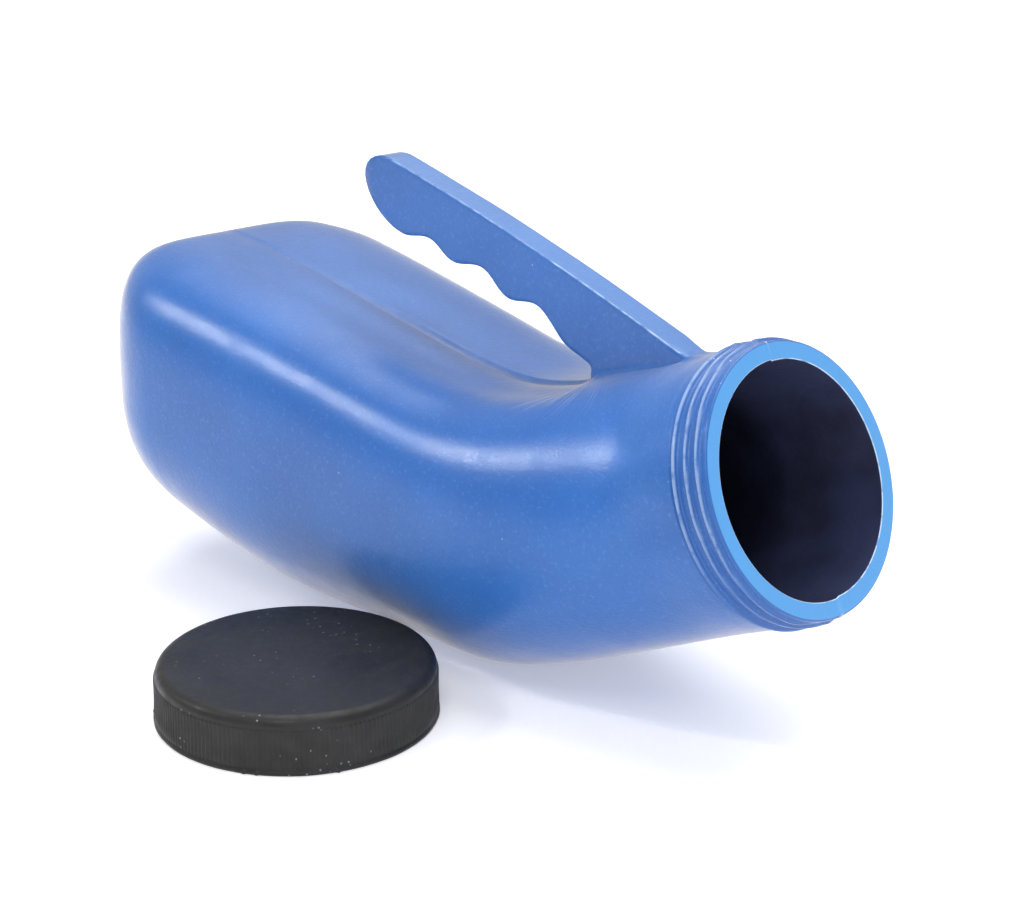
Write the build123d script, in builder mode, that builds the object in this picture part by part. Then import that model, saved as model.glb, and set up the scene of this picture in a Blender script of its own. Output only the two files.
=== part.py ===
"""Hand-held urine bottle, lying on its belly with its screw cap beside it.

Frame: millimetres, +Z up, the table at Z = 0.  X runs along the bottle towards its mouth,
and the bottle's mid-plane, which holds the handle and the mould's parting line, is Y = 0.
The origin is on the table, under the middle of the belly's flat rest.
"""
import os
from math import cos, pi, radians, sin, sqrt

from build123d import *

os.makedirs("parts", exist_ok=True)

# ---- body: driving dimensions --------------------------------------------------------------
MOUTH_X = 110.0          # mouth's centre, ahead of the origin
MOUTH_Z = 65.6           # mouth's centre, above the table
NECK_TILT = 23.1         # degrees that the neck rises from the table
REAR_X = -103.0          # flat of the bottle's rear end
REAR_ROUND_SIDE = 34.0   # rounding between the rear end and the two sides
REAR_ROUND_TOP = 17.0    # rounding between the rear end and the top or the underside
WALL = 1.5               # blow-moulded wall of the body
BELLY_CUT = 0.6          # how much the belly is flattened where it rests
SHOULDER_X = 30.0        # the wall thickens from here to the neck

# ---- neck and thread -----------------------------------------------------------------------
NECK_LENGTH = 28.0       # neck piece, from the mouth back to the shoulder
RIM_RADIUS = 31.2        # outside of the rim, and root of the thread
BORE_RADIUS = 27.0       # inside of the neck
NECK_BASE_RADIUS = 31.9  # outside of the neck where it meets the shoulder
RIM_ROUND = 0.6
COLLAR_RADIUS = 32.3     # ring below the thread
COLLAR_BACK = 8.6        # middle of the ring, behind the mouth
COLLAR_WIDTH = 1.6
COLLAR_REAR_SLOPE = (1.0, 0.4)   # the neck's rise to the ring: how far behind it, and above the rim
COLLAR_FRONT_SLOPE = 0.8
THREAD_PITCH = 3.2
THREAD_TURNS = 1.4
THREAD_HEIGHT = 1.0      # ridge above the thread's root
THREAD_START = 1.7       # middle of the first ridge, behind the mouth
THREAD_FOOT = 1.6        # width of a ridge at its foot
THREAD_CREST = 0.7       # width of a ridge at its crest
THREAD_SINK = 0.3        # how far a ridge's foot reaches into the wall
NECK_STEP = 0.1          # step from the shoulder down to the neck
PLUG = 6.0               # how far the handle's cutting shape reaches from the neck into the body

# ---- handle --------------------------------------------------------------------------------
HANDLE_THICKNESS = 8.0
HANDLE_FALL = 18.0       # degrees that the handle falls towards the neck
HANDLE_X = -29.5         # rear end of the handle
HANDLE_Z = 122.4         # line of the handle's back, at the rear end
HANDLE_LENGTH = 120.0    # along the back, to inside the neck
BACK_CROWN = 1.8         # how much the back bulges above its line
TIP_LENGTH = 10.0        # rounded rear end, along the handle
TIP_NOSE = (3.0, -8.0)   # foremost point of the rear end, along and above the back's line
TIP_DEPTH = 14.7         # mean depth of the blade behind the first groove
GRIP_DEPTH = 12.5        # mean depth of the blade over the grip
GRIP_SPAN = (24.0, 44.0)     # the depth eases from the tip's to the grip's along here
ROOT_DEPTH = 18.0        # mean depth of the blade at its root
ROOT_SPAN = (74.0, 90.0)     # and from the grip's to the root's along here
ROOT_DROP = (4.5, -9.0)  # from the last groove down into the body
BACK_SINK = -1.0         # the back's line dips this much inside the neck
GROOVE_PITCH = 19.5      # one finger
GROOVE_FIRST = 29.5      # middle of the first groove, from the rear end
GROOVE_COUNT = 4
GROOVE_SWING = 1.5       # half the height of the finger waves
WAVE_POINTS = 6          # points of the underside for each finger
SINK = 14.0              # how far the blade's root reaches into the neck before it is cut

# ---- cap and liner -------------------------------------------------------------------------
CAP_X = 15.9             # the cap lies beside the bottle's belly
CAP_Y = -66.7
CAP_RADIUS = 33.7        # over the ribs and the lip
CAP_HEIGHT = 13.8
CAP_TOP = 1.7            # thickness of the cap's top
CAP_SKIRT_INNER = 32.6
CAP_EDGE_ROUND = 2.6
CAP_LIP = 1.2            # plain band under the ribs
CAP_LIP_SLOPE = 0.3
CAP_BAND = 0.6           # plain band above the ribs
RIB_COUNT = 180
RIB_DEPTH = 0.35
CAP_THREAD_HEIGHT = 1.1
CAP_THREAD_UP = 4.0      # first ridge, above the skirt's edge
CAP_THREAD_TURNS = 1.3
LINER_RADIUS = 31.9
LINER_THICKNESS = 1.0
LINER_GAP = 0.1          # the liner lies loose under the cap's top


def blend(start, end, share):
    """Value between start and end, level at both ends."""
    share = min(max(share, 0.0), 1.0)
    return start + (end - start) * share * share * (3 - 2 * share)


# ---- body sections -------------------------------------------------------------------------
# Each section stands across the mid-plane: its top point, its bottom point, half its width,
# and how square its corners are (2 is an ellipse): the flatness of its top, the steepness of
# its upper sides, and the roundness of its belly.  The last is the circle where the neck starts.
tilt = radians(NECK_TILT)
neck_back_x = MOUTH_X - NECK_LENGTH * cos(tilt)
neck_back_z = MOUTH_Z - NECK_LENGTH * sin(tilt)
neck_across = (NECK_BASE_RADIUS * sin(tilt), NECK_BASE_RADIUS * cos(tilt))
SECTIONS = [
    # top x, top z, low x, low z, half width, flat top, steep side, round belly
    (REAR_X, 91.0, REAR_X, 20.5, 46.8, 4.8, 3.9, 2.2),
    (-72.0, 88.1, -72.0, 10.2, 46.5, 4.8, 3.9, 2.2),
    (-40.0, 82.5, -38.0, 1.6, 44.8, 4.8, 3.9, 2.15),
    (-12.0, 77.0, -10.0, -BELLY_CUT, 43.0, 4.8, 3.8, 2.05),
    (10.0, 72.9, 14.0, -BELLY_CUT, 41.9, 4.5, 3.6, 2.0),
    (27.0, 71.3, 35.0, 0.0, 41.2, 3.9, 3.3, 2.05),
    (42.0, 73.6, 56.0, 7.0, 40.0, 3.1, 2.8, 2.1),
    (57.0, 78.6, 76.0, 16.0, 36.8, 2.4, 2.3, 2.1),
    (
        neck_back_x - neck_across[0],
        neck_back_z + neck_across[1],
        neck_back_x + neck_across[0],
        neck_back_z - neck_across[1],
        NECK_BASE_RADIUS,
        2.0,
        2.0,
        2.0,
    ),
]
OUTLINE_POINTS = 32
SECTION_STEP = 11.0      # spacing of the sections ahead of the rear rounding
ROUND_STEPS = (90, 68, 48, 30, 14)   # degrees round the rear rounding


def middle_of(section):
    """Distance along X of a section's middle."""
    return (section[0] + section[2]) / 2


def section_at(place):
    """Section at a distance along X, on smooth curves through the given sections."""
    rows = SECTIONS
    last = len(rows) - 2
    i = 0
    while i < last and place > middle_of(rows[i + 1]):
        i += 1
    near, far = rows[i], rows[i + 1]
    gap = middle_of(far) - middle_of(near)
    t = (place - middle_of(near)) / gap
    values = []
    for k in range(len(near)):
        slopes = []
        for j in (i, i + 1):
            before, after = rows[max(j - 1, 0)], rows[min(j + 1, len(rows) - 1)]
            slopes.append((after[k] - before[k]) / (middle_of(after) - middle_of(before)) * gap)
        values.append(
            (2 * t**3 - 3 * t**2 + 1) * near[k]
            + (t**3 - 2 * t**2 + t) * slopes[0]
            + (3 * t**2 - 2 * t**3) * far[k]
            + (t**3 - t**2) * slopes[1]
        )
    return values


def section_plane(top_x, top_z, low_x, low_z):
    """Plane of a section: its X runs along +Y and its Y up the mid-plane."""
    rise = Vector(top_x - low_x, 0, top_z - low_z).normalized()
    middle = ((top_x + low_x) / 2, 0, (top_z + low_z) / 2)
    return Plane(origin=middle, x_dir=(0, 1, 0), z_dir=Vector(0, 1, 0).cross(rise))


def section_outline(section, side_inset, top_inset):
    """Plane and points of one rounded, squarish section, drawn in at its sides and its top."""
    top_x, top_z, low_x, low_z, half_width, flat_top, steep_side, round_belly = section
    half_height = sqrt((top_x - low_x) ** 2 + (top_z - low_z) ** 2) / 2 - top_inset
    half_width -= side_inset
    points = []
    for i in range(OUTLINE_POINTS):
        turn = 2 * pi * i / OUTLINE_POINTS
        upper = sin(turn) > 0
        across = abs(cos(turn)) ** (2 / (flat_top if upper else round_belly))
        up = abs(sin(turn)) ** (2 / (steep_side if upper else round_belly))
        side = 1 if cos(turn) > 0 else -1
        points.append((half_width * across * side, half_height * up * (1 if upper else -1)))
    return section_plane(top_x, top_z, low_x, low_z), points


def rounding_pull(radius, ahead):
    """How far a rounded edge has drawn in, at a distance ahead of the flat that it rounds to."""
    left = max(radius - ahead, 0.0)
    return radius - sqrt(radius * radius - left * left)


def body_outlines(inset, neck_inset):
    """Sections from the rear end to the neck, drawn in by inset, and by neck_inset at the neck."""
    rows = []
    for step in ROUND_STEPS:
        ahead = (REAR_ROUND_SIDE - inset) * (1 - sin(radians(step)))
        side_inset = inset + rounding_pull(REAR_ROUND_SIDE - inset, ahead)
        top_inset = inset + rounding_pull(REAR_ROUND_TOP - inset, ahead)
        rows.append(section_outline(section_at(REAR_X + inset + ahead), side_inset, top_inset))
    start = REAR_X + REAR_ROUND_SIDE
    finish = middle_of(SECTIONS[-1])
    steps = round((finish - start) / SECTION_STEP)
    for i in range(steps + 1):
        place = start + (finish - start) * i / steps
        thicken = blend(inset, neck_inset, (place - SHOULDER_X) / (finish - SHOULDER_X))
        rows.append(section_outline(section_at(place), thicken, thicken))
    return rows


def handle_depth(along):
    """Depth of the blade's underside below the line of its back."""
    mean = blend(TIP_DEPTH, GRIP_DEPTH, (along - GRIP_SPAN[0]) / (GRIP_SPAN[1] - GRIP_SPAN[0]))
    mean += blend(0, ROOT_DEPTH - GRIP_DEPTH, (along - ROOT_SPAN[0]) / (ROOT_SPAN[1] - ROOT_SPAN[0]))
    return mean - GROOVE_SWING * cos(2 * pi * (along - GROOVE_FIRST) / GROOVE_PITCH)


# ---- neck axis -----------------------------------------------------------------------------
mouth = Vector(MOUTH_X, 0, MOUTH_Z)
neck_out = Vector(cos(tilt), 0, sin(tilt))
neck_axis = Axis(mouth, neck_out)
# plane through the neck's axis: X outward along the axis, Y away from it
neck_half_plane = Plane(origin=mouth, x_dir=neck_out, z_dir=(0, -1, 0))

# ---- outside of the body, also used to cut the handle's root -------------------------------
with BuildPart() as body_outside:
    for plane, points in body_outlines(0.0, 0.0):
        with BuildSketch(plane):
            with BuildLine():
                Spline(*points, periodic=True)
            make_face()
    loft()
    split(bisect_by=Plane.XY, keep=Keep.TOP)

with BuildPart() as bottle_body:
    add(body_outside.part)
    for plane, points in body_outlines(WALL, NECK_BASE_RADIUS - BORE_RADIUS):
        with BuildSketch(plane):
            with BuildLine():
                Spline(*points, periodic=True)
            make_face()
    loft(mode=Mode.SUBTRACT)
bottle_body.part.label = "bottle_body"
export_step(bottle_body.part, "parts/bottle_body.step")

# ---- neck with its collar and screw thread -------------------------------------------------
collar_rear = -COLLAR_BACK - COLLAR_WIDTH / 2
collar_front = -COLLAR_BACK + COLLAR_WIDTH / 2
# outside of the neck and the ring, solid to the axis, with a plug that reaches into the body
with BuildPart() as neck_outside:
    with BuildSketch(neck_half_plane):
        with BuildLine():
            Polyline(
                (-NECK_LENGTH - PLUG, 0),
                (-NECK_LENGTH - PLUG, BORE_RADIUS),
                (-NECK_LENGTH, BORE_RADIUS),
                (-NECK_LENGTH, NECK_BASE_RADIUS - NECK_STEP),
                (collar_rear - COLLAR_REAR_SLOPE[0], RIM_RADIUS + COLLAR_REAR_SLOPE[1]),
                (collar_rear, COLLAR_RADIUS),
                (collar_front, COLLAR_RADIUS),
                (collar_front, 0),
                close=True,
            )
        make_face()
    revolve(axis=neck_axis)

with BuildPart() as neck_finish:
    with BuildSketch(neck_half_plane):
        with BuildLine():
            Polyline(
                (-NECK_LENGTH, BORE_RADIUS),
                (-NECK_LENGTH, NECK_BASE_RADIUS - NECK_STEP),
                (collar_rear - COLLAR_REAR_SLOPE[0], RIM_RADIUS + COLLAR_REAR_SLOPE[1]),
                (collar_rear, COLLAR_RADIUS),
                (collar_front, COLLAR_RADIUS),
                (collar_front + COLLAR_FRONT_SLOPE, RIM_RADIUS),
                (-RIM_ROUND, RIM_RADIUS),
                (0, RIM_RADIUS - RIM_ROUND),
                (0, BORE_RADIUS),
                close=True,
            )
        make_face()
    revolve(axis=neck_axis)
    with BuildLine():
        ridge = Helix(
            pitch=THREAD_PITCH,
            height=THREAD_PITCH * THREAD_TURNS,
            radius=RIM_RADIUS,
            center=mouth - neck_out * (THREAD_START + THREAD_PITCH * THREAD_TURNS),
            direction=neck_out,
        )
    start_out = (ridge @ 0) - (mouth - neck_out * (THREAD_START + THREAD_PITCH * THREAD_TURNS))
    with BuildSketch(Plane(origin=ridge @ 0, x_dir=start_out, z_dir=ridge % 0)):
        with BuildLine():
            Polyline(
                (-THREAD_SINK, -THREAD_FOOT / 2),
                (THREAD_HEIGHT, -THREAD_CREST / 2),
                (THREAD_HEIGHT, THREAD_CREST / 2),
                (-THREAD_SINK, THREAD_FOOT / 2),
                close=True,
            )
        make_face()
    sweep(path=ridge, is_frenet=True)
neck_finish.part.label = "neck_finish"
export_step(neck_finish.part, "parts/neck_finish.step")

# ---- handle: a flat blade in the mid-plane, with finger grooves under it --------------------
fall = radians(HANDLE_FALL)
handle_plane = Plane(
    origin=(HANDLE_X, 0, HANDLE_Z), x_dir=(cos(fall), 0, -sin(fall)), z_dir=(0, -1, 0)
)
last_groove = GROOVE_FIRST + GROOVE_PITCH * (GROOVE_COUNT - 1)
grip_start = GROOVE_FIRST - GROOVE_PITCH / 2
wave_step = GROOVE_PITCH / WAVE_POINTS
wave_count = int(round((last_groove - grip_start) / wave_step))
underside = []
for i in range(wave_count + 1):
    along = grip_start + i * wave_step
    underside.append((along, -handle_depth(along)))
with BuildPart() as handle:
    with BuildSketch(handle_plane):
        with BuildLine():
            back = ThreePointArc(
                (TIP_LENGTH, 0), (HANDLE_LENGTH / 2, BACK_CROWN), (HANDLE_LENGTH, BACK_SINK)
            )
            grip = Spline(*underside)
            tip = Spline(back @ 0, TIP_NOSE, grip @ 0, tangents=(-1 * (back % 0), grip % 0))
            root_low = (grip @ 1) + Vector(*ROOT_DROP)
            Polyline(
                grip @ 1,
                root_low,
                root_low + Vector(HANDLE_LENGTH - last_groove - SINK, -SINK),
                back @ 1,
            )
        make_face()
    extrude(amount=HANDLE_THICKNESS / 2, both=True)
    add(body_outside.part, mode=Mode.SUBTRACT)
    add(neck_outside.part, mode=Mode.SUBTRACT)
handle.part.label = "handle"
export_step(handle.part, "parts/handle.step")

# ---- cap, lying on its open edge -----------------------------------------------------------
cap_floor = Plane(origin=(CAP_X, CAP_Y, 0))
cap_half_plane = Plane(origin=(CAP_X, CAP_Y, 0), x_dir=(1, 0, 0), z_dir=(0, -1, 0))
cap_axis = Axis((CAP_X, CAP_Y, 0), (0, 0, 1))
skirt_outer = CAP_RADIUS - RIB_DEPTH
rib_top = CAP_HEIGHT - CAP_EDGE_ROUND - CAP_BAND
rib_outline = []
for i in range(2 * RIB_COUNT):
    turn = pi * i / RIB_COUNT
    reach = CAP_RADIUS if i % 2 else skirt_outer
    rib_outline.append((reach * cos(turn), reach * sin(turn)))
with BuildPart() as cap:
    with BuildSketch(cap_half_plane):
        with BuildLine():
            Line((0, CAP_HEIGHT), (skirt_outer - CAP_EDGE_ROUND, CAP_HEIGHT))
            RadiusArc(
                (skirt_outer - CAP_EDGE_ROUND, CAP_HEIGHT),
                (skirt_outer, CAP_HEIGHT - CAP_EDGE_ROUND),
                CAP_EDGE_ROUND,
            )
            Polyline(
                (skirt_outer, CAP_HEIGHT - CAP_EDGE_ROUND),
                (skirt_outer, CAP_LIP),
                (CAP_RADIUS, CAP_LIP - CAP_LIP_SLOPE),
                (CAP_RADIUS, 0),
                (CAP_SKIRT_INNER, 0),
                (CAP_SKIRT_INNER, CAP_HEIGHT - CAP_TOP),
                (0, CAP_HEIGHT - CAP_TOP),
                (0, CAP_HEIGHT),
            )
        make_face()
    revolve(axis=cap_axis)
    with BuildSketch(cap_floor.offset(CAP_LIP)):
        with BuildLine():
            Polyline(*rib_outline, close=True)
        make_face()
        Circle(skirt_outer - RIB_DEPTH, mode=Mode.SUBTRACT)
    extrude(amount=rib_top - CAP_LIP)
    with BuildLine():
        cap_ridge = Helix(
            pitch=THREAD_PITCH,
            height=THREAD_PITCH * CAP_THREAD_TURNS,
            radius=CAP_SKIRT_INNER,
            center=(CAP_X, CAP_Y, CAP_THREAD_UP),
        )
    ridge_in = Vector(CAP_X, CAP_Y, CAP_THREAD_UP) - (cap_ridge @ 0)
    with BuildSketch(Plane(origin=cap_ridge @ 0, x_dir=ridge_in, z_dir=cap_ridge % 0)):
        with BuildLine():
            Polyline(
                (-THREAD_SINK, -THREAD_FOOT / 2),
                (CAP_THREAD_HEIGHT, -THREAD_CREST / 2),
                (CAP_THREAD_HEIGHT, THREAD_CREST / 2),
                (-THREAD_SINK, THREAD_FOOT / 2),
                close=True,
            )
        make_face()
    sweep(path=cap_ridge, is_frenet=True)
cap.part.label = "cap"
export_step(cap.part, "parts/cap.step")

# ---- liner: the soft sealing disc inside the cap -------------------------------------------
liner_top = CAP_HEIGHT - CAP_TOP - LINER_GAP
with BuildPart() as cap_liner:
    with BuildSketch(cap_floor.offset(liner_top - LINER_THICKNESS)):
        Circle(LINER_RADIUS)
    extrude(amount=LINER_THICKNESS)
cap_liner.part.label = "cap_liner"
export_step(cap_liner.part, "parts/cap_liner.step")
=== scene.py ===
from math import cos, pi, radians, sin, sqrt

import bmesh
import bpy
import numpy as np
from mathutils import Matrix, Vector


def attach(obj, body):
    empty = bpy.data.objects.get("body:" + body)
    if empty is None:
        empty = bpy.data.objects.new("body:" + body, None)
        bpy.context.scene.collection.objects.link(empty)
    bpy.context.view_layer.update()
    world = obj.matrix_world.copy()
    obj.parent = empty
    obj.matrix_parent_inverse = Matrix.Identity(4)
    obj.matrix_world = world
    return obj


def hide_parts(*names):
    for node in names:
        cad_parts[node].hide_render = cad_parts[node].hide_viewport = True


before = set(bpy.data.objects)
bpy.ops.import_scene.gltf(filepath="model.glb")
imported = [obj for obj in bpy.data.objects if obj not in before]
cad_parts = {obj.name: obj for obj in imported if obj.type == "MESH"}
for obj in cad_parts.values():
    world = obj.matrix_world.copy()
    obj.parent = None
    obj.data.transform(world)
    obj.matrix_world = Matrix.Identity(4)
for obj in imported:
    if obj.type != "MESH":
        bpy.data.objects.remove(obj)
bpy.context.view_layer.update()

# Lengths are in millimetres until a mesh is made, in the frame's own axes: +X along the bottle
# to its mouth, +Z up from the table, and the bottle's mid-plane at Y = 0.
MM = 0.001

# ---- bottle: the body's shape, as the CAD part has it ----------------------------------------
MOUTH = np.array([110.0, 0.0, 65.6])
NECK_TILT = radians(23.1)
NECK_OUT = np.array([cos(NECK_TILT), 0.0, sin(NECK_TILT)])
NECK_UP = np.array([-sin(NECK_TILT), 0.0, cos(NECK_TILT)])
NEAR = np.array([0.0, -1.0, 0.0])
REAR_X = -103.0
ROUND_SIDE = 34.0
ROUND_TOP = 17.0
WALL = 1.5
SHOULDER_X = 30.0                      # from here to the neck the wall grows thicker
NECK_LENGTH = 28.0
NECK_BASE = 31.9
BORE = 27.0
RIM = 31.2
REAR_SHARES = (0, 0.1, 0.25, 0.42, 0.6, 0.78, 0.9)   # rings across the flat of the rear end
neck_back = MOUTH - NECK_LENGTH * NECK_OUT
neck_top = neck_back + NECK_BASE * NECK_UP
neck_low = neck_back - NECK_BASE * NECK_UP
SECTIONS = np.array([
    # top x, top z, low x, low z, half width, flat top, steep side, round belly
    (REAR_X, 91.0, REAR_X, 20.5, 46.8, 4.8, 3.9, 2.2),
    (-72.0, 88.1, -72.0, 10.2, 46.5, 4.8, 3.9, 2.2),
    (-40.0, 82.5, -38.0, 1.6, 44.8, 4.8, 3.9, 2.15),
    (-12.0, 77.0, -10.0, -0.6, 43.0, 4.8, 3.8, 2.05),
    (10.0, 72.9, 14.0, -0.6, 41.9, 4.5, 3.6, 2.0),
    (27.0, 71.3, 35.0, 0.0, 41.2, 3.9, 3.3, 2.05),
    (42.0, 73.6, 56.0, 7.0, 40.0, 3.1, 2.8, 2.1),
    (57.0, 78.6, 76.0, 16.0, 36.8, 2.4, 2.3, 2.1),
    (neck_top[0], neck_top[2], neck_low[0], neck_low[2], NECK_BASE, 2.0, 2.0, 2.0),
])
MIDDLES = (SECTIONS[:, 0] + SECTIONS[:, 2]) / 2

# ---- lines that run along the bottle, by their distance round it from the top ----------------
HALF_THICK = 4.0                       # half the handle's thickness
TOP_LINES = [0, 0.3, 0.8, 1.5, 2.3, 3.0, 3.5, 3.8, HALF_THICK, 4.9, 5.9, 7.0, 8.4, 10.0, 12.0]
EDGE = TOP_LINES.index(HALF_THICK)     # the line that the handle's side grows from
SIDE_LINES = 84
HALF = len(TOP_LINES) + SIDE_LINES - 1
COLUMNS = 2 * HALF
OUTLINE_POINTS = 900                   # fine points that half a section's lines are placed along
RIBBON = list(range(EDGE, -1, -1)) + list(range(COLUMNS - 1, COLUMNS - EDGE - 1, -1))


def smooth(value, low=0.0, high=1.0):
    """0 below low, 1 above high, and a smooth curve between."""
    t = np.clip((value - low) / (high - low), 0.0, 1.0)
    return t * t * (3 - 2 * t)


def section_at(place):
    """Section of the body at a distance along X, on smooth curves through the given sections."""
    last = len(MIDDLES) - 2
    i = int(np.clip(np.searchsorted(MIDDLES, place) - 1, 0, last))
    gap = MIDDLES[i + 1] - MIDDLES[i]
    t = (place - MIDDLES[i]) / gap
    slopes = []
    for j in (i, i + 1):
        a, b = max(j - 1, 0), min(j + 1, last + 1)
        slopes.append((SECTIONS[b] - SECTIONS[a]) / (MIDDLES[b] - MIDDLES[a]) * gap)
    return (
        (2 * t**3 - 3 * t**2 + 1) * SECTIONS[i] + (t**3 - 2 * t**2 + t) * slopes[0]
        + (3 * t**2 - 2 * t**3) * SECTIONS[i + 1] + (t**3 - t**2) * slopes[1]
    )


def line_places(half_length):
    """Distances round the section of all the lines on one half, from the top to the bottom."""
    return np.concatenate([TOP_LINES, np.linspace(TOP_LINES[-1], half_length, SIDE_LINES + 1)[1:]])


def body_ring(place, side_inset, top_inset):
    """One closed ring of points round the body."""
    tx, tz, lx, lz, width, flat_top, steep_side, belly = section_at(place)
    width -= side_inset
    rise = np.array([tx - lx, 0, tz - lz])
    height = np.linalg.norm(rise) / 2 - top_inset
    rise /= np.linalg.norm(rise)
    middle = np.array([(tx + lx) / 2, 0, (tz + lz) / 2])
    turn = pi / 2 - pi * np.linspace(0, 1, OUTLINE_POINTS) ** 3   # closest together at the top
    upper = turn > 0
    across = width * np.abs(np.cos(turn)) ** np.where(upper, 2 / flat_top, 2 / belly)
    up = height * np.abs(np.sin(turn)) ** np.where(upper, 2 / steep_side, 2 / belly)
    up *= np.where(upper, 1, -1)
    across[0] = across[-1] = 0
    arc = np.concatenate([[0], np.cumsum(np.hypot(np.diff(across), np.diff(up)))])
    places = line_places(arc[-1])
    across, up = np.interp(places, arc, across), np.interp(places, arc, up)
    near = middle + up[:, None] * rise + across[:, None] * NEAR
    far = middle + up[:, None] * rise - across[:, None] * NEAR
    ring = np.concatenate([near, far[-2:0:-1]])
    ring[:, 2] = np.maximum(ring[:, 2], 0)
    return ring


def pull(radius, ahead):
    """How far a rounded edge has drawn in, at a distance ahead of the flat that it rounds to."""
    left = max(radius - ahead, 0)
    return radius - sqrt(radius * radius - left * left)


def body_rows(inset, neck_inset, round_steps, spacing):
    """Rings from the middle of the rear end to just short of the neck, drawn in by inset."""
    rows = []
    for step in np.linspace(90, 0, round_steps + 1)[:-1]:
        ahead = (ROUND_SIDE - inset) * (1 - sin(radians(step)))
        rows.append(body_ring(REAR_X + inset + ahead, inset + pull(ROUND_SIDE - inset, ahead),
                              inset + pull(ROUND_TOP - inset, ahead)))
    middle = (rows[0][0] + rows[0][HALF]) / 2
    rows[:0] = [middle + (rows[0] - middle) * share for share in REAR_SHARES]
    start, finish = REAR_X + ROUND_SIDE, MIDDLES[-1]
    count = round((finish - start) / spacing)
    for i in range(count):
        place = start + (finish - start) * i / count
        thicker = inset + (neck_inset - inset) * smooth(place, SHOULDER_X, finish)
        rows.append(body_ring(place, thicker, thicker))
    return rows


# ---- neck: places along it are distances behind the mouth, so they are negative ----------------
NECK_FRONT = 31.6                      # outside of the neck where its taper ends
TAPER_END = -10.4
neck_angles = line_places(pi * NECK_FRONT) / NECK_FRONT
ANGLES = np.concatenate([neck_angles, 2 * pi - neck_angles[-2:0:-1]])   # from the top towards -Y
THREAD_PITCH = 3.2
THREAD_END = radians(170)              # where the thread fades out, next to the mouth
THREAD_TURNS = 1.55
THREAD_END_BACK = -1.25
THREAD_FADE = 0.35                     # radians
COLLAR_BACK = -8.6
RIDGE_HEIGHT = 1.0
RIDGE_FOOT = 0.62                      # half the width of a ridge at its foot
COLLAR_FLAT = 0.25                     # half the width of its crest
THREAD_FLAT = 0.22
GROOVE_BACK = COLLAR_BACK - 1.15       # a shallow groove behind the collar
GROOVE_DEPTH = 0.3


def neck_radius(back):
    """Outside of the neck at every line, at a distance behind the mouth (negative)."""
    plain = NECK_BASE + (NECK_FRONT - NECK_BASE) * (back + NECK_LENGTH) / (TAPER_END + NECK_LENGTH)
    at_rim = smooth(back, COLLAR_BACK - 0.5, COLLAR_BACK + 0.6)
    radius = np.full(COLUMNS, RIM + (plain - RIM) * (1 - at_rim))
    radius += RIDGE_HEIGHT * (1 - smooth(abs(back - COLLAR_BACK), COLLAR_FLAT, RIDGE_FOOT))
    radius -= GROOVE_DEPTH * (1 - smooth(abs(back - GROOVE_BACK), 0.1, 0.6))
    for turn in range(3):
        angle = ANGLES + 2 * pi * (turn - 2)
        travel = THREAD_END - angle                       # back along the thread from its end
        ridge = THREAD_END_BACK - THREAD_PITCH * travel / (2 * pi)
        length = 2 * pi * THREAD_TURNS
        fade = smooth(travel, 0, THREAD_FADE) * (1 - smooth(travel, length - THREAD_FADE, length))
        radius += RIDGE_HEIGHT * fade * (1 - smooth(np.abs(back - ridge), THREAD_FLAT, RIDGE_FOOT))
    return radius


def neck_ring(back, radius):
    """One closed ring of points round the neck's axis."""
    radius = np.broadcast_to(radius, (COLUMNS,))[:, None]
    round_it = np.cos(ANGLES)[:, None] * NECK_UP + np.sin(ANGLES)[:, None] * NEAR
    return MOUTH + back * NECK_OUT + radius * round_it


# ---- rings of the bottle, from the rear end out to the mouth and back inside -----------------
RIM_ROUND = 0.55
INNER_ROUND = 0.3
rows = body_rows(inset=0.0, neck_inset=0.0, round_steps=20, spacing=1.25)
for back in np.linspace(-NECK_LENGTH, -12.4, 14):
    rows.append(neck_ring(back, neck_radius(back)))
for back in np.arange(-12.0, -0.7, 0.2):                      # finely, over the collar and thread
    rows.append(neck_ring(back, neck_radius(back)))
for step in np.linspace(0, 90, 6):
    at = radians(step)
    rows.append(neck_ring(-RIM_ROUND * (1 - sin(at)), RIM - RIM_ROUND * (1 - cos(at))))
for radius in np.linspace(RIM - RIM_ROUND - 0.4, BORE + 0.75, 8):
    rows.append(neck_ring(0.0, radius))
rim_inner_row = len(rows)
for step in np.linspace(0, 90, 5):
    at = radians(step)
    rows.append(neck_ring(-INNER_ROUND * (1 - cos(at)), BORE + INNER_ROUND * (1 - sin(at))))
inner_row = len(rows) - 1
for back in np.linspace(-1.0, -NECK_LENGTH + 1, 16):
    rows.append(neck_ring(back, BORE))
rows.extend(reversed(body_rows(inset=WALL, neck_inset=NECK_BASE - BORE, round_steps=12, spacing=3.5)))
rows = np.array(rows)

# ---- handle: outline in the mid-plane, by distance along its back and depth below it ----------
HANDLE_AT = np.array([-29.5, 122.4])
FALL = radians(18.0)
TIP_LENGTH = 10.0
TIP_NOSE = (3.0, -8.0)
BACK_LENGTH = 118.0                    # runs past the place where the back meets the neck
BACK_MIDDLE = 62.0
BACK_HALF = 56.0
BACK_CROWN = 1.8
BACK_SINK = 0.2
ROOT_X = 50.3                          # where the underside comes down on the body
OVER_ROOT = 91.0                       # place on the back that is above it
TIP_DEPTH = 14.7
GRIP_DEPTH = 12.5
GRIP_SPAN = (24, 44)                   # the depth changes to the grip's along this stretch
ROOT_DEPTH = 18.0
ROOT_SPAN = (74, 90)
GROOVE_PITCH = 19.5
GROOVE_FIRST = 29.5
GROOVE_SWING = 1.5
LAST_GROOVE = GROOVE_FIRST + 3 * GROOVE_PITCH
EDGE_ROUND = 0.4


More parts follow.
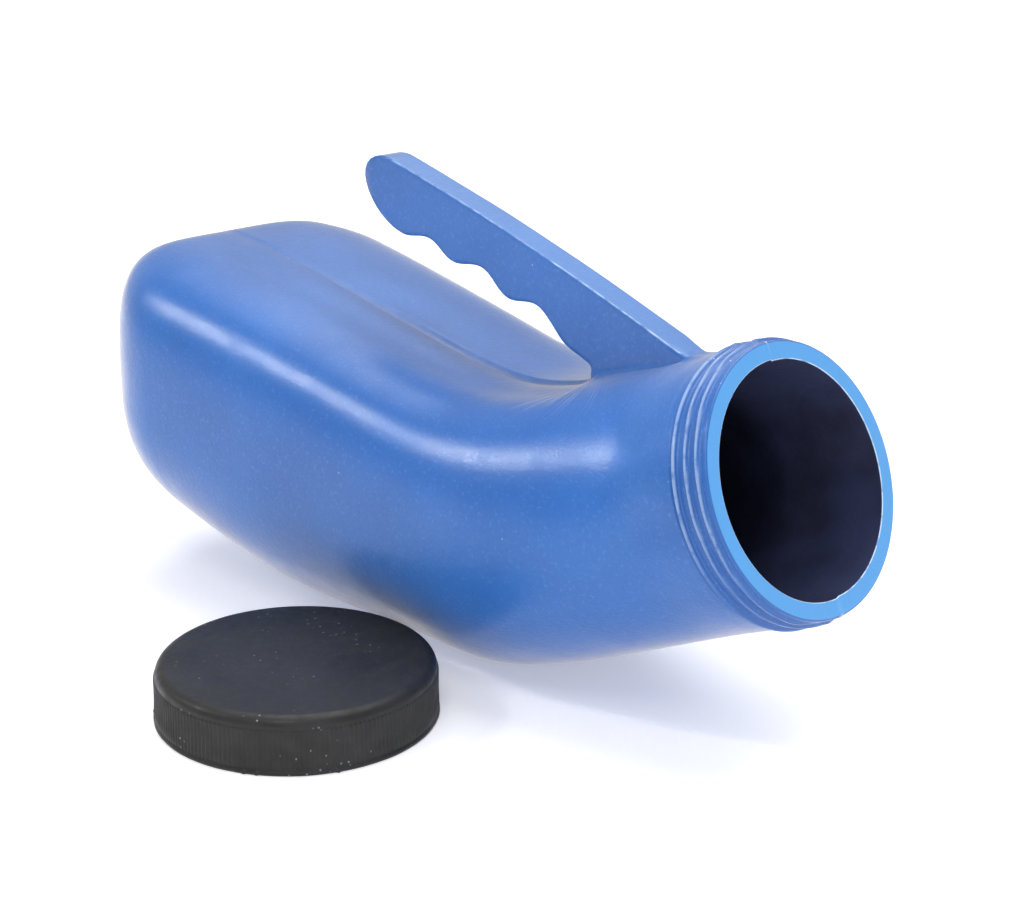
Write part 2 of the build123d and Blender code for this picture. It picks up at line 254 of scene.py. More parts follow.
def on_handle(along, up):
    """Mid-plane point (x, z) of a place on the handle."""
    along, up = np.asarray(along, float), np.asarray(up, float)
    return np.stack([HANDLE_AT[0] + along * cos(FALL) + up * sin(FALL),
                     HANDLE_AT[1] - along * sin(FALL) + up * cos(FALL)], axis=-1)


def depth(along):
    """Depth of the finger grip below the handle's straight back line."""
    mean = TIP_DEPTH - (TIP_DEPTH - GRIP_DEPTH) * smooth(along, *GRIP_SPAN)
    mean += (ROOT_DEPTH - GRIP_DEPTH) * smooth(along, *ROOT_SPAN)
    return mean - GROOVE_SWING * np.cos(2 * pi * (along - GROOVE_FIRST) / GROOVE_PITCH)


def bezier(a, b, c, d, count=40):
    """Points of a cubic curve from a to d, with handles b and c."""
    t = np.linspace(0, 1, count)[:, None]
    a, b, c, d = (np.asarray(p, float) for p in (a, b, c, d))
    return (1 - t)**3 * a + 3 * (1 - t)**2 * t * b + 3 * (1 - t) * t**2 * c + t**3 * d


def spread(curve, count):
    """The curve's points, respaced evenly into count steps."""
    arc = np.concatenate([[0], np.cumsum(np.linalg.norm(np.diff(curve, axis=0), axis=1))])
    at = np.linspace(0, arc[-1], count + 1)
    return np.stack([np.interp(at, arc, curve[:, k]) for k in range(curve.shape[1])], axis=-1)


tops = rows[:, 0][:, [0, 2]]           # the rings' top points in the mid-plane
RIM_ROWS = 30                          # rings next to the mouth, which the handle doesn't reach
root = int(np.argmin(np.abs(tops[:rim_inner_row - RIM_ROWS, 0] - ROOT_X)))
neck_tops = tops[root:rim_inner_row - RIM_ROWS]
along = np.linspace(TIP_LENGTH, BACK_LENGTH, 1200)
crown = BACK_CROWN * (1 - ((along - BACK_MIDDLE) / BACK_HALF) ** 2) - BACK_SINK
back_line = on_handle(along, crown)
neck_line = np.interp(back_line[:, 0], neck_tops[:, 0], neck_tops[:, 1])
meets = int(np.argmax(back_line[:, 1] < neck_line))
end = root + int(np.argmin(np.abs(neck_tops[:, 0] - back_line[meets, 0])))

grip_start = GROOVE_FIRST - GROOVE_PITCH / 2
wave = np.linspace(grip_start, LAST_GROOVE, 400)
under = on_handle(wave, -depth(wave))
corner = tops[root]
last = under[-1]
down = bezier(last, last + (1.4, -0.1), corner + (0.1, 2.2), corner)
underside = np.concatenate([under, down[1:]])
FREE = 84                              # steps along the free part of the blade
RISE = 18                              # steps up its height
ATTACHED = end - root
bottom = spread(underside, FREE)       # from the tip to the body
tip_back, tip_low = on_handle(along[0], crown[0]), under[0]
nose = on_handle(*TIP_NOSE)
tip = np.concatenate([
    bezier(tip_low, on_handle(13.0, -16.8), on_handle(5.0, -12.6), nose),
    bezier(nose, on_handle(1.6, -4.4), on_handle(4.2, crown[0] - 0.9), tip_back)[1:],
])
tip = spread(tip, RISE)
over_root = int(np.argmin(np.abs(along - OVER_ROOT)))
top = np.concatenate([spread(back_line[:over_root + 1], FREE),
                      spread(back_line[over_root:meets + 1], ATTACHED)[1:]])

# ---- one mesh for the whole moulding ----------------------------------------------------------
points, faces, inside = [], [], []


def add(point):
    """Number of a new point."""
    points.append(point)
    return len(points) - 1


def patch(grid, dark=False, skip=()):
    """Faces of a grid of point numbers. Corners that coincide make triangles."""
    for i in range(len(grid) - 1):
        for j in range(len(grid[0]) - 1):
            if (i, j) in skip:
                continue
            ring = [grid[i][j], grid[i][j + 1], grid[i + 1][j + 1], grid[i + 1][j]]
            ring = [p for n, p in enumerate(ring) if p != ring[n - 1]]
            if len(ring) > 2:
                faces.append(ring)
                inside.append(dark)


grid = []
for i, ring in enumerate(rows):
    if i in (0, len(rows) - 1):
        grid.append([add(ring.mean(axis=0))] * COLUMNS)
    else:
        grid.append([add(p) for p in ring])
closed = [ring + ring[:1] for ring in grid]
under_handle = {(i, j) for i in range(root, end) for j in range(COLUMNS)
                if j < EDGE or j >= COLUMNS - EDGE}
patch(closed[:inner_row + 1], skip=under_handle)
# the inside faces take the second material, painted dark as painted shade
patch(closed[inner_row:], dark=True)

first_handle_point = len(points)
outline = np.concatenate([bottom[::-1], tip[1:-1], top])      # body, underside, tip, back, neck
tangent = np.gradient(outline, axis=0)
tangent /= np.linalg.norm(tangent, axis=1)[:, None]
inward = np.stack([tangent[:, 1], -tangent[:, 0]], axis=-1)
line_y = np.array([-d for d in TOP_LINES[EDGE::-1]] + TOP_LINES[1:EDGE + 1])
over = np.maximum(np.abs(line_y) - (HALF_THICK - EDGE_ROUND), 0)
line_in = EDGE_ROUND - np.sqrt(np.maximum(EDGE_ROUND**2 - over**2, 0))
ribbon = [[grid[root][c] for c in RIBBON]]
for o, n in zip(outline[1:-1], inward[1:-1]):
    ribbon.append([add((o[0] + e * n[0], y, o[1] + e * n[1])) for y, e in zip(line_y, line_in)])
ribbon.append([grid[end][c] for c in RIBBON])
patch(ribbon)
TIP_FAN = 14                           # columns over which the tip's round fades out
for side, column in ((0, EDGE), (-1, COLUMNS - EDGE)):
    edge = [row[side] for row in ribbon]                      # the ribbon's edge on this side
    low = edge[:FREE + 1][::-1] + [grid[i][column] for i in range(root + 1, end + 1)]
    nose_edge = edge[FREE:FREE + RISE + 1]
    high = edge[FREE + RISE:]
    corners = np.array([points[p] for p in nose_edge])
    columns = []
    for j, (a, b) in enumerate(zip(low, high)):
        if j == 0:
            columns.append(nose_edge)
            continue
        if a == b:
            columns.append([a] * (RISE + 1))
            continue
        pa, pb = np.array(points[a]), np.array(points[b])
        weight = max(1 - j / TIP_FAN, 0) ** 2
        column_points = [a]
        for k in range(1, RISE):
            share = k / RISE
            bulge = corners[k] - (corners[0] * (1 - share) + corners[-1] * share)
            column_points.append(add(pa * (1 - share) + pb * share + weight * bulge))
        columns.append(column_points + [b])
    patch(columns)

xyz = np.array([np.asarray(p, float) for p in points])
is_handle = np.arange(len(xyz)) >= first_handle_point
ring_of = np.full(len(xyz), -1)
for i, ring in enumerate(grid):
    ring_of[ring] = i
is_outer = is_handle | (ring_of < inner_row)

# ---- the handle's root flows into the body ----------------------------------------------------
HOLD_Y = 1.2
ROOT_BLEND = (1.0, 5.5)                # distance from the root over which the blend fades
pairs = np.array(sorted({tuple(sorted((f[k - 1], f[k]))) for f in faces for k in range(len(f))}))
degree = np.maximum(np.bincount(pairs.ravel(), minlength=len(xyz)), 1)[:, None]


def relaxed(xyz, weight, times):
    """The points evened out by their weights. Lines close to the mid-plane keep their Y."""
    held = np.abs(xyz[:, 1]) < HOLD_Y
    for _ in range(times):
        total = np.zeros_like(xyz)
        np.add.at(total, pairs[:, 0], xyz[pairs[:, 1]])
        np.add.at(total, pairs[:, 1], xyz[pairs[:, 0]])
        step = 0.5 * weight[:, None] * (total / degree - xyz)
        step[held, 1] = 0
        xyz = xyz + step
    return xyz


seed_points = [grid[i][c] for i in range(root, end + 1) for c in (EDGE, COLUMNS - EDGE)]
seed_points += [grid[root][c] for c in RIBBON]
seeds = xyz[seed_points]
near_root = np.where(is_outer & (xyz[:, 0] > 35) & (xyz[:, 0] < 95) & (xyz[:, 2] > 55))[0]
gap = np.full(len(xyz), np.inf)
gap[near_root] = np.min(np.linalg.norm(xyz[near_root][:, None] - seeds[None], axis=2), axis=1)
xyz = relaxed(xyz, 1 - smooth(gap, *ROOT_BLEND), times=22)

# ---- the shoulder runs smoothly into the neck --------------------------------------------------
behind_mouth = (xyz - MOUTH) @ NECK_OUT
shoulder = smooth(behind_mouth, -52, -36) * (1 - smooth(behind_mouth, -22, -15))
xyz = relaxed(xyz, np.where(is_outer & ~is_handle, 0.9 * shoulder, 0.0), times=45)


def new_mesh(name, points_mm, faces):
    """A mesh with its faces turned outwards."""
    mesh = bpy.data.meshes.new(name)
    mesh.from_pydata(points_mm * MM, [], faces)
    mesh.validate()
    work = bmesh.new()
    work.from_mesh(mesh)
    bmesh.ops.recalc_face_normals(work, faces=work.faces)
    work.to_mesh(mesh)
    work.free()
    return mesh


def new_object(name, mesh):
    mesh.shade_smooth()
    obj = bpy.data.objects.new(name, mesh)
    bpy.context.collection.objects.link(obj)
    return obj


solid = new_mesh("bottle", xyz, faces)
normals = np.empty(len(xyz) * 3)
solid.vertices.foreach_get("normal", normals)
normals = normals.reshape(-1, 3)

x, y, z = xyz.T
shell = is_outer & ~is_handle

# ---- parting line: a ridge, and a groove on its near side that deepens towards the handle -----
SEAM_ON_BODY = 0.02                    # height of the ridge
SEAM_ON_NECK = 0.10
SEAM_AT_REAR = 0.5                     # high on the rear end it grows to a small bump
SEAM_END = 52.0                        # the groove stops here, under the handle's root
SEAM_WIDTH = 5.0
HOLLOW_Y = -13.0                       # a shallow hollow beside the groove
HOLLOW_WIDTH = 5.5
HOLLOW_DEPTH = 0.4
strength = 0.3 * smooth(x, -99, -80) + smooth(x, -75, 5)
on_top = shell & (ring_of >= len(REAR_SHARES)) & (x < SEAM_END) & (normals[:, 2] > 0.3)
near_profile = np.exp(np.minimum(y, 0) / SEAM_WIDTH) * smooth(-y, -0.4, 2.6)
groove = np.where(on_top, strength * near_profile, 0.0)
hollow_profile = HOLLOW_DEPTH * np.exp(-((y - HOLLOW_Y) / HOLLOW_WIDTH) ** 2)
hollow = np.where(on_top, strength * hollow_profile, 0.0)
seam = shell & (np.abs(y) < 0.05) & (ring_of > 1) & (ring_of < rim_inner_row)
ridge = np.where(behind_mouth > -30, SEAM_ON_NECK, SEAM_ON_BODY)
lift = np.where(seam, ridge, 0.0) - groove - hollow
lift += np.where(seam & (x < -92) & (z > 70), SEAM_AT_REAR * smooth(-x, 92, 97), 0.0)

# ---- slow unevenness of a blown wall -----------------------------------------------------------
UNEVEN = 0.05
wobble = np.sin(x / 11.3 + 0.7) * np.sin(y / 9.1 + z / 13.7 + 1.1) + 0.6 * np.sin(x / 6.1 - z / 8.3)
lift += np.where(is_handle | (shell & (behind_mouth < -12) & (z > 1.5)), UNEVEN * wobble, 0.0)

# ---- whitened edges and painted highlights: the handle's back, the mouth, the collar, the thread ---
whitening_and_highlight = np.zeros(len(xyz))
for f in range(FREE + RISE + 2, len(ribbon) - 4):
    broken = 0.7 + 0.3 * sin(f * 0.9) * sin(f * 0.37)
    for line, amount in ((1, 1.0), (2 * EDGE - 1, 0.5 * smooth(f, 160, 190))):
        p = ribbon[f][line]
        whitening_and_highlight[p] = amount * broken * (0.45 + 0.40 * smooth(f, 150, 185))
        lift[p] += 0.10 * amount
# painted highlight all round the mouth's inner edge
whitening_and_highlight[(ring_of > rim_inner_row) & (ring_of < inner_row)] = 1.0
from_axis = np.linalg.norm(xyz - MOUTH - behind_mouth[:, None] * NECK_OUT, axis=1)
crest = is_outer * (behind_mouth > -9.6) * (behind_mouth < -0.6) * smooth(from_axis - RIM, 0.70, 0.97)
# painted highlight on the crests of the collar and thread, only where they face up and towards the near
# side
whitening_and_highlight += 0.32 * crest * smooth(z, 42, 66) * smooth(-y, 2, 12)          # above and on the near side
whitening_and_highlight[seam & (ring_of > rim_inner_row - 14)] = 0.7

xyz = xyz + lift[:, None] * normals
xyz[:, 2] = np.maximum(xyz[:, 2], 0)

# ---- the halves of the mouth don't quite meet: the far one reaches a little further in ---------
HALF_STEP = 0.32
COLLAR_SEAM = 0.12                     # and a low ridge crosses the collar and thread between them
far_half = (ring_of >= rim_inner_row - 3) & (ring_of <= inner_row + 6) & (y > 0.2)
step_in = HALF_STEP * np.exp(-np.abs(y) / 9.0) * np.sign(z - MOUTH[2])
xyz[far_half] -= step_in[far_half, None] * NECK_UP
collar_seam = shell & (behind_mouth > -9.8) & (behind_mouth < -0.5) & (np.abs(y) < 1.2)
xyz[collar_seam] += COLLAR_SEAM * normals[collar_seam]
solid.vertices.foreach_set("co", (xyz * MM).ravel())
solid.update()

# ---- what the blue plastic's colour follows ----------------------------------------------------
# painted light: the handle's back is painted a little paler, as lit from above; the mouth's flat and
# rounded edge are painted paler fully
HANDLE_BACK_LIGHT = 0.18                      # the handle's back is a little brighter, the mouth's flat fully
paler_mouth_and_lit_back = ((ring_of >= rim_inner_row - 9) & (ring_of <= rim_inner_row + 1)).astype(float)
for f in range(FREE + RISE // 2, len(ribbon) - 1):
    paler_mouth_and_lit_back[ribbon[f][2:2 * EDGE - 1]] = HANDLE_BACK_LIGHT
# the attributes: whitened edges with painted highlights, paler faces (the handle's back as painted
# light), and painted shade in the parting line's groove
for name, values in (("whitening_and_highlight", whitening_and_highlight), ("paler_mouth_and_lit_back", paler_mouth_and_lit_back), ("grime_and_shade", groove * (y < 1))):
    layer = solid.attributes.new(name, "FLOAT", "POINT")
    layer.data.foreach_set("value", values.astype(np.float32))
solid.polygons.foreach_set("material_index", np.array(inside, dtype=np.int32))
# points under the handle's root belong to no face
work = bmesh.new()
work.from_mesh(solid)
bmesh.ops.delete(work, geom=[v for v in work.verts if not v.link_faces], context="VERTS")
work.to_mesh(solid)
work.free()
bottle = new_object("bottle_moulding", solid)
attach(bottle, "bottle")
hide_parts("bottle_body", "neck_finish", "handle")


# ---- cap and liner ----------------------------------------------------------------------------
CAP_AT = np.array([15.9, -66.7])
CAP_HEIGHT = 13.8
CAP_UNDER = 12.1
SKIRT_INNER = 32.6
RIB_TIP = 33.4
RIB_DEPTH = 0.34
RIB_COUNT = 180
CAP_ROUND = 2.6
LIP_RADIUS = 33.7
TOP_DISH = 0.12                        # the flat top sinks by this much at its middle
SKIRT_FLARE = 0.16                     # and the ribbed skirt widens by this much towards the lip
CAP_THREAD_UP = 4.0
CAP_THREAD_HEIGHT = 1.05
CAP_THREAD_LENGTH = 2 * pi * 1.3
CAP_THREAD_FADE = 0.3
# small moulding tags on the lip: angle and size
LIP_TAGS = ((-0.42, 0.45), (-0.97, 0.3), (-1.06, 0.35), (-2.3, 0.25))
TAG_WIDTH = 0.012
TURN_STEPS = RIB_COUNT * 4
cap_turn = 2 * pi * np.arange(TURN_STEPS) / TURN_STEPS


def turned(rings):
    """Points and faces of a shape about the cap's axis, from rings of (radius, height)."""
    pts, fcs, numbers = [], [], []
    for i, (radius, height) in enumerate(rings):
        radius = np.broadcast_to(radius, cap_turn.shape)
        height = np.broadcast_to(height, cap_turn.shape)
        if radius.max() == 0:
            numbers.append([len(pts)] * TURN_STEPS)
            pts.append((CAP_AT[0], CAP_AT[1], height[0]))
            continue
        numbers.append(list(range(len(pts), len(pts) + TURN_STEPS)))
        pts.extend(np.stack([CAP_AT[0] + radius * np.cos(cap_turn),
                             CAP_AT[1] + radius * np.sin(cap_turn), height], axis=-1))
    for a, b in zip(numbers[:-1], numbers[1:]):
        for j in range(TURN_STEPS):
            k = (j + 1) % TURN_STEPS
            ring = [a[j], a[k], b[k], b[j]]
            ring = [p for n, p in enumerate(ring) if p != ring[n - 1]]
            if len(ring) > 2:
                fcs.append(ring)
    return np.array(pts, float), fcs


rib_wave = 0.5 - 0.5 * np.cos(RIB_COUNT * cap_turn)
rib_root = RIB_TIP - RIB_DEPTH
rings = [(0, CAP_HEIGHT - TOP_DISH)]
for radius in (4, 9, 14, 19, 24, 28, 30.2):
    rings.append((radius, CAP_HEIGHT - TOP_DISH * (1 - smooth(radius, 5, 30))))
for step in np.linspace(0, 90, 11):
    at = radians(step)
    rings.append((rib_root - CAP_ROUND + CAP_ROUND * sin(at), CAP_HEIGHT - CAP_ROUND * (1 - cos(at))))
rib_high = CAP_HEIGHT - CAP_ROUND - 0.05
for drop in (0.12, 0.25, 0.4, 0.6, 0.9, 1.4, 2.2, 3.2, 4.4, 5.6, 6.8, 7.8, 8.5):
    ribbed = RIB_DEPTH * rib_wave * smooth(drop, 0.0, 0.5)
    rings.append((rib_root + ribbed + SKIRT_FLARE * smooth(drop, 5.0, 9.5), rib_high - drop))
lip_edge = LIP_RADIUS + 0.03 * np.sin(7 * cap_turn) + 0.02 * np.sin(19 * cap_turn + 1)
for where, size in LIP_TAGS:
    lip_edge = lip_edge + size * np.exp(-((cap_turn - (where % (2 * pi))) / TAG_WIDTH) ** 2)
rings.append((rib_root + SKIRT_FLARE + 0.12 * rib_wave, 1.55))
rings.append((rib_root + 0.26, 1.25))
rings.append((lip_edge - 0.12, 1.0))
rings.append((lip_edge, 0.75))
rings.append((lip_edge, 0.35))
rings.append((lip_edge - 0.25, 0.06))
rings.append((lip_edge - 0.5, 0.0))
rings.append((SKIRT_INNER + 0.4, 0.0))
rings.append((SKIRT_INNER, 0.35))
for height in np.arange(2.4, 10.0, 0.25):
    reach = np.full(TURN_STEPS, SKIRT_INNER)
    for turn in range(2):
        travel = cap_turn + 2 * pi * turn
        ridge = CAP_THREAD_UP + THREAD_PITCH * travel / (2 * pi)
        fade_out = smooth(travel, CAP_THREAD_LENGTH - CAP_THREAD_FADE, CAP_THREAD_LENGTH)
        fade = smooth(travel, 0, CAP_THREAD_FADE) * (1 - fade_out)
        reach = reach - CAP_THREAD_HEIGHT * fade * (1 - smooth(np.abs(height - ridge), 0.25, 0.9))
    rings.append((reach, height))
rings.append((SKIRT_INNER, 10.5))
rings.append((SKIRT_INNER, CAP_UNDER - 0.4))
rings.append((SKIRT_INNER - 0.4, CAP_UNDER))
for radius in (31.0, 27.0, 20.0, 12.0, 5.0, 0):
    rings.append((radius, CAP_UNDER))
cap = new_object("screw_cap", new_mesh("screw_cap", *turned(rings)))
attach(cap, "cap")
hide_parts("cap")

LINER_RADIUS = 31.9
LINER_EDGE = 31.6
LINER_TOP = 12.0
LINER_LOW = 11.0
rings = [(r, LINER_TOP) for r in (0, 8, 16, 24, 30, LINER_EDGE)]
rings += [(LINER_RADIUS, LINER_TOP - 0.25), (LINER_RADIUS, LINER_LOW + 0.25), (LINER_EDGE, LINER_LOW)]
for radius, pressed in ((RIM, 0), (30.9, 0.08), (29.0, 0.12), (27.2, 0.08)):   # by the mouth's edge
    rings.append((radius, LINER_LOW + pressed))
rings += [(r, LINER_LOW) for r in (26.8, 20, 12, 6, 0)]
liner = new_object("sealing_liner", new_mesh("sealing_liner", *turned(rings)))
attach(liner, "cap_liner")
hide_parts("cap_liner")


# ---- materials --------------------------------------------------------------------------------
class Nodes:
    """Short way to write a material's nodes."""

    def __init__(self, name):
        self.material = bpy.data.materials.new(name)
        self.material.use_nodes = True
        self.tree = self.material.node_tree
        self.shader = self.tree.nodes["Principled BSDF"]
        self.place = self.tree.nodes.new("ShaderNodeTexCoord").outputs["Object"]

    def link(self, value, socket):
        if isinstance(value, bpy.types.NodeSocket):
            self.tree.links.new(value, socket)
        else:
            socket.default_value = value

    def node(self, kind, *values, out=0, **settings):
        node = self.tree.nodes.new(kind)
        for key, value in settings.items():
            setattr(node, key, value)
        for socket, value in zip(node.inputs, values):
            if value is not None:
                self.link(value, socket)
        return node.outputs[out]

    def math(self, operation, a, b=None, c=None):
        return self.node("ShaderNodeMath", a, b, c, operation=operation)

    def noise(self, scale, detail=2.0, rough=0.5, vector=None):
        node = self.tree.nodes.new("ShaderNodeTexNoise")
        self.link(vector or self.place, node.inputs["Vector"])
        node.inputs["Scale"].default_value = scale
        node.inputs["Detail"].default_value = detail
        node.inputs["Roughness"].default_value = rough
        return node.outputs["Fac"]

    def ramp(self, value, low, high, out_low=0.0, out_high=1.0):
        node = self.tree.nodes.new("ShaderNodeMapRange")
        node.interpolation_type = "SMOOTHSTEP"
        for socket, v in zip(node.inputs, (value, low, high, out_low, out_high)):
            self.link(v, socket)
        return node.outputs["Result"]

    def mix(self, share, a, b):
        node = self.tree.nodes.new("ShaderNodeMix")
        node.data_type = "RGBA"
        self.link(share, node.inputs["Factor"])
        self.link(a, node.inputs[6])
        self.link(b, node.inputs[7])
        return node.outputs[2]

    def bump(self, height, distance, strength=1.0, normal=None):
        node = self.tree.nodes.new("ShaderNodeBump")
        node.inputs["Strength"].default_value = strength
        node.inputs["Distance"].default_value = distance
        self.link(height, node.inputs["Height"])
        if normal is not None:
            self.link(normal, node.inputs["Normal"])
        return node.outputs["Normal"]

    def finish(self, **sockets):
        for name, value in sockets.items():
            self.link(value, self.shader.inputs[name.replace("_", " ")])
        return self.material


def blue_plastic():
    m = Nodes("blue_polyethylene")
    base = (0.019, 0.124, 0.425, 1)
    deep = (0.015, 0.104, 0.372, 1)
    pale = (0.05, 0.185, 0.52, 1)
    cloud = m.noise(22.0, 3.0)
    speck = m.noise(1100.0, 2.0, 0.6)
    colour = m.mix(m.ramp(cloud, 0.35, 0.65), deep, base)
    colour = m.mix(m.ramp(speck, 0.56, 0.72, 0.0, 0.5), colour, pale)
    colour = m.mix(m.ramp(speck, 0.44, 0.28, 0.0, 0.35), colour, (0.015, 0.085, 0.31, 1))
    # fine creases that fan out below the handle's root, on the near side
    crease_root = (0.0500, -0.0020, 0.0790)              # metres
    split = m.tree.nodes.new("ShaderNodeSeparateXYZ")
    m.link(m.place, split.inputs[0])
    dx = m.math("SUBTRACT", split.outputs[0], crease_root[0])
    dy = m.math("SUBTRACT", split.outputs[1], crease_root[1])
    dz = m.math("SUBTRACT", split.outputs[2], crease_root[2])
    down = m.math("SQRT", m.math("ADD", m.math("MULTIPLY", dy, dy), m.math("MULTIPLY", dz, dz)))
    fan = m.math("ARCTAN2", dx, down)
    bend = m.math("MULTIPLY_ADD", down, 16.0, fan)
    spokes = m.tree.nodes.new("ShaderNodeTexNoise")
    spokes.noise_dimensions = "1D"
    m.link(bend, spokes.inputs["W"])
    spokes.inputs["Scale"].default_value = 7.0
    spokes.inputs["Detail"].default_value = 3.0
    reach = m.math("SQRT", m.math("MULTIPLY_ADD", down, down, m.math("MULTIPLY", dx, dx)))
    window = m.math("MULTIPLY", m.ramp(reach, 0.003, 0.007), m.ramp(reach, 0.028, 0.010))
    window = m.math("MULTIPLY", window, m.ramp(split.outputs[1], -0.0042, -0.0065))
    window = m.math("MULTIPLY", window, m.ramp(split.outputs[2], 0.050, 0.060))
    window = m.math("MULTIPLY", window, m.ramp(split.outputs[2], 0.080, 0.076))
    window = m.math("MULTIPLY", window, m.ramp(fan, -0.75, -0.25))
    crease = m.math("MULTIPLY", m.ramp(spokes.outputs["Fac"], 0.50, 0.62), window)
    colour = m.mix(m.math("MULTIPLY", crease, 0.16), colour, (0.30, 0.42, 0.72, 1))
    # whitened edges with painted highlights, the mouth's flat and rounded edge painted paler, the
    # handle's back painted paler as painted light from above, and painted shade in the parting line's
    # groove
    edge = m.node("ShaderNodeAttribute", attribute_name="whitening_and_highlight", out=2)
    wear_and_highlight = m.math("MULTIPLY", edge, m.ramp(m.noise(420.0, 2.0), 0.30, 0.52, 0.35, 1.0))
    colour = m.mix(wear_and_highlight, colour, (0.62, 0.78, 0.95, 1))
    # painted paler: the mouth's flat, and the handle's back as painted light from above
    paler_mouth_and_lit_back = m.node("ShaderNodeAttribute", attribute_name="paler_mouth_and_lit_back", out=2)
    colour = m.mix(m.math("MULTIPLY", paler_mouth_and_lit_back, 0.9), colour, (0.085, 0.335, 0.720, 1))
    # painted shade along the parting line's groove on the near side of the top
    grime_and_shade = m.node("ShaderNodeAttribute", attribute_name="grime_and_shade", out=2)
    colour = m.mix(m.math("MULTIPLY", grime_and_shade, 0.75), colour, (0.055, 0.085, 0.190, 1))
    # a few small pale specks, where a slower noise lets them show
    dots = m.node("ShaderNodeTexVoronoi", m.place, None, 260.0, out=0)
    few = m.math("MULTIPLY", m.ramp(dots, 0.075, 0.045), m.ramp(m.noise(60.0), 0.60, 0.66))
    colour = m.mix(m.math("MULTIPLY", few, 0.6), colour, (0.45, 0.60, 0.85, 1))
    normal = m.bump(m.noise(1500.0, 2.0, 0.6), 0.00012, 0.55)
    normal = m.bump(m.noise(330.0, 2.0), 0.0004, 0.14, normal)
    normal = m.bump(crease, 0.0004, 0.4, normal)
    rough = m.ramp(m.noise(180.0, 3.0), 0.3, 0.7, 0.28, 0.37)
    m.shader.inputs["Specular IOR Level"].default_value = 0.5
    m.shader.inputs["Sheen Weight"].default_value = 1.0
    m.shader.inputs["Sheen Roughness"].default_value = 0.30
    m.shader.inputs["Sheen Tint"].default_value = (1.0, 0.93, 0.84, 1)
    return m.finish(Base_Color=colour, Roughness=rough, Normal=normal)


def inside_painted_shade():
    m = Nodes("blue_polyethylene_inside_painted_shade")
    # the inside is the same blue plastic, painted near-black as painted shade
    near_black = (0.019, 0.021, 0.045, 1)
    blue_black = (0.036, 0.044, 0.105, 1)
    colour = m.mix(m.ramp(m.noise(40.0, 3.0), 0.35, 0.65), near_black, blue_black)
    rough = m.ramp(m.noise(90.0), 0.3, 0.7, 0.35, 0.5)
    return m.finish(Base_Color=colour, Roughness=rough, Normal=m.bump(m.noise(700.0, 2.0), 0.0002, 0.4))


def black_plastic():
    m = Nodes("black_polypropylene")
    dark = (0.0155, 0.0155, 0.016, 1)
    wear_and_highlight = (0.022, 0.022, 0.0225, 1)
    colour = m.mix(m.ramp(m.noise(50.0, 3.0), 0.35, 0.65), dark, wear_and_highlight)
    grime_and_shade = m.ramp(m.noise(240.0, 4.0, 0.65), 0.50, 0.75, 0.0, 0.2)
    colour = m.mix(grime_and_shade, colour, (0.045, 0.046, 0.044, 1))
    dots = m.node("ShaderNodeTexVoronoi", m.place, None, 520.0, out=0)
    patchy = m.ramp(m.noise(75.0), 0.52, 0.62)
    dust = m.math("MULTIPLY", m.ramp(dots, 0.17, 0.08), patchy)
    colour = m.mix(m.math("MULTIPLY", dust, 0.55), colour, (0.34, 0.36, 0.42, 1))
    normal = m.bump(m.noise(1300.0, 2.0, 0.6), 0.00012, 0.5)
    normal = m.bump(dust, 0.0002, 0.6, normal)
    rough = m.ramp(m.noise(300.0, 3.0), 0.3, 0.7, 0.36, 0.52)
    m.shader.inputs["Specular IOR Level"].default_value = 0.28
    return m.finish(Base_Color=colour, Roughness=rough, Normal=normal)


def foam():
    m = Nodes("liner_foam")
    colour = m.mix(m.ramp(m.noise(90.0, 3.0), 0.35, 0.65), (0.66, 0.65, 0.60, 1), (0.76, 0.75, 0.71, 1))
    cells = m.node("ShaderNodeTexVoronoi", m.place, None, 1600.0, out=0)
    return m.finish(Base_Color=colour, Roughness=m.ramp(m.noise(300.0), 0.3, 0.7, 0.7, 0.85),
                    Normal=m.bump(cells, 0.00015, 0.5))


blue = blue_plastic()
solid.materials.append(blue)
solid.materials.append(inside_painted_shade())
black = black_plastic()
cap.data.materials.append(black)
pale_foam = foam()
liner.data.materials.append(pale_foam)
for node, material in (("bottle_body", blue), ("neck_finish", blue), ("handle", blue), ("cap", black),
                       ("cap_liner", pale_foam)):
    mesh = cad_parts[node].data
    mesh.materials.clear()
    mesh.materials.append(material)

# ---- floor, light and camera ------------------------------------------------------------------
FLOOR_HALF = 4.0
floor_mesh = bpy.data.meshes.new("floor")
corners = [(i * FLOOR_HALF, j * FLOOR_HALF, 0) for i, j in ((-1, -1), (1, -1), (1, 1), (-1, 1))]
floor_mesh.from_pydata(corners, [], [(0, 1, 2, 3)])
floor = bpy.data.objects.new("floor", floor_mesh)
bpy.context.collection.objects.link(floor)
paper = Nodes("pale_floor")
floor_mesh.materials.append(paper.finish(Base_Color=(0.80, 0.80, 0.81, 1), Roughness=0.8,
                                        Emission_Color=(1.0, 0.98, 0.985, 1), Emission_Strength=0.35))

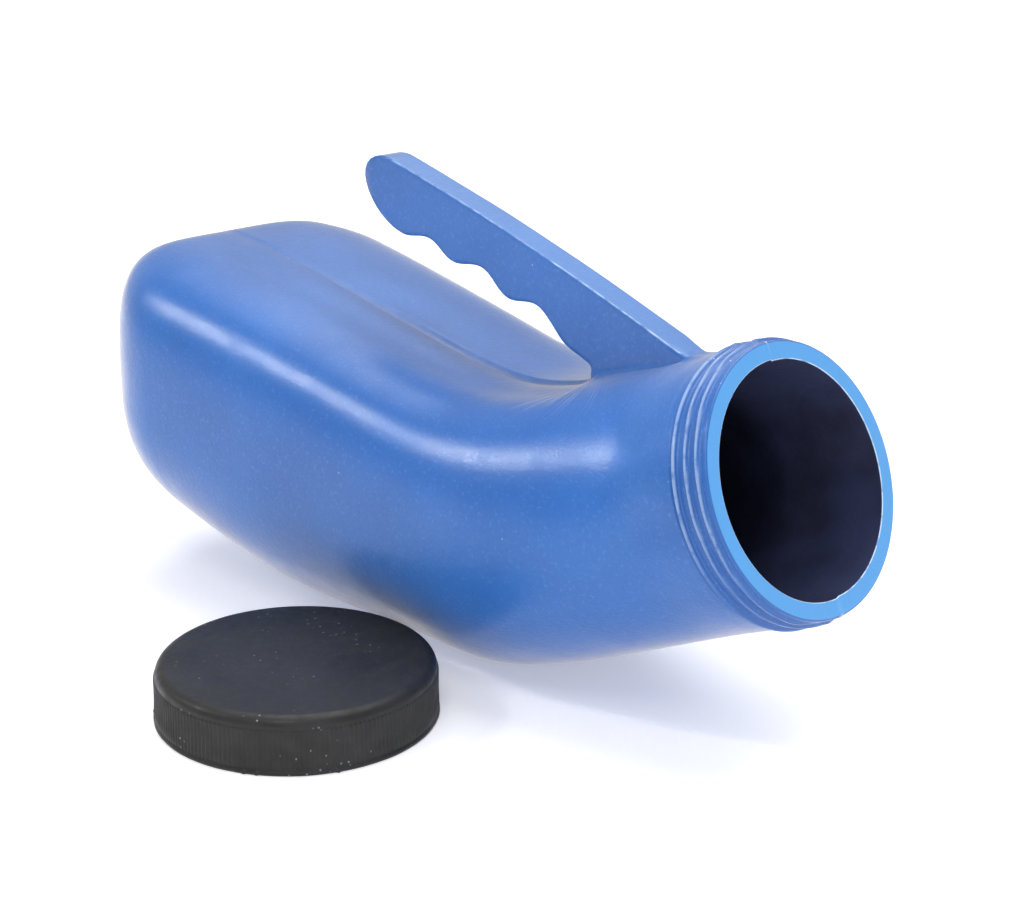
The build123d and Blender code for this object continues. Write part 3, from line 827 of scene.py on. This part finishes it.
world = bpy.data.worlds.new("studio")
world.use_nodes = True
world.node_tree.nodes["Background"].inputs["Color"].default_value = (1.0, 1.0, 1.0, 1)
world.node_tree.nodes["Background"].inputs["Strength"].default_value = 0.47
bpy.context.scene.world = world


def softbox(name, place, target, size, power, spread=180):
    """A square area light: metres, watts, and the angle that its light fans out over."""
    light = bpy.data.lights.new(name, "AREA")
    light.shape = "SQUARE"
    light.size = size
    light.energy = power
    light.spread = radians(spread)
    obj = bpy.data.objects.new(name, light)
    obj.location = place
    obj.rotation_euler = (Vector(target) - Vector(place)).to_track_quat("-Z", "Y").to_euler()
    bpy.context.collection.objects.link(obj)


KEY_AT = (-0.62, -0.66, 0.70)
softbox("left_key", KEY_AT, (0.022, -0.035, 0.062), size=0.13, power=0.0125, spread=6)
softbox("left_fill", KEY_AT, (0, 0, 0.05), size=0.24, power=2.0)
softbox("overhead", (-0.2, 0.9, 2.6), (0, 0, 0), size=3.0, power=86.0)
softbox("front_right", (1.2, -0.75, 0.45), (0.05, 0, 0.04), size=0.7, power=3.2)
softbox("cap_front", (0.45, -0.60, 0.95), (0, -0.08, 0.01), size=0.4, power=3.0)

CAMERA_AT = (0.3538, -0.3409, 0.2090)
PITCH = 0.3235
ROLL = 0.0112
PICTURE_WIDTH = 1024
flat = Vector((-0.698, 0.716, 0)).normalized()
ahead = flat * cos(PITCH) - Vector((0, 0, sin(PITCH)))
right = ahead.cross(Vector((0, 0, 1))).normalized()
up = right.cross(ahead)
right, up = right * cos(ROLL) + up * sin(ROLL), up * cos(ROLL) - right * sin(ROLL)
camera = bpy.data.objects.new("camera", bpy.data.cameras.new("camera"))
camera.data.sensor_width = 36.0
camera.data.lens = 70.65
camera.data.shift_x = -2 / PICTURE_WIDTH
camera.data.shift_y = 1.5 / PICTURE_WIDTH
camera.matrix_world = Matrix.Translation(CAMERA_AT) @ Matrix((right, up, -ahead)).transposed().to_4x4()
bpy.context.collection.objects.link(camera)
bpy.context.scene.camera = camera
bpy.context.scene.view_settings.view_transform = "Standard"
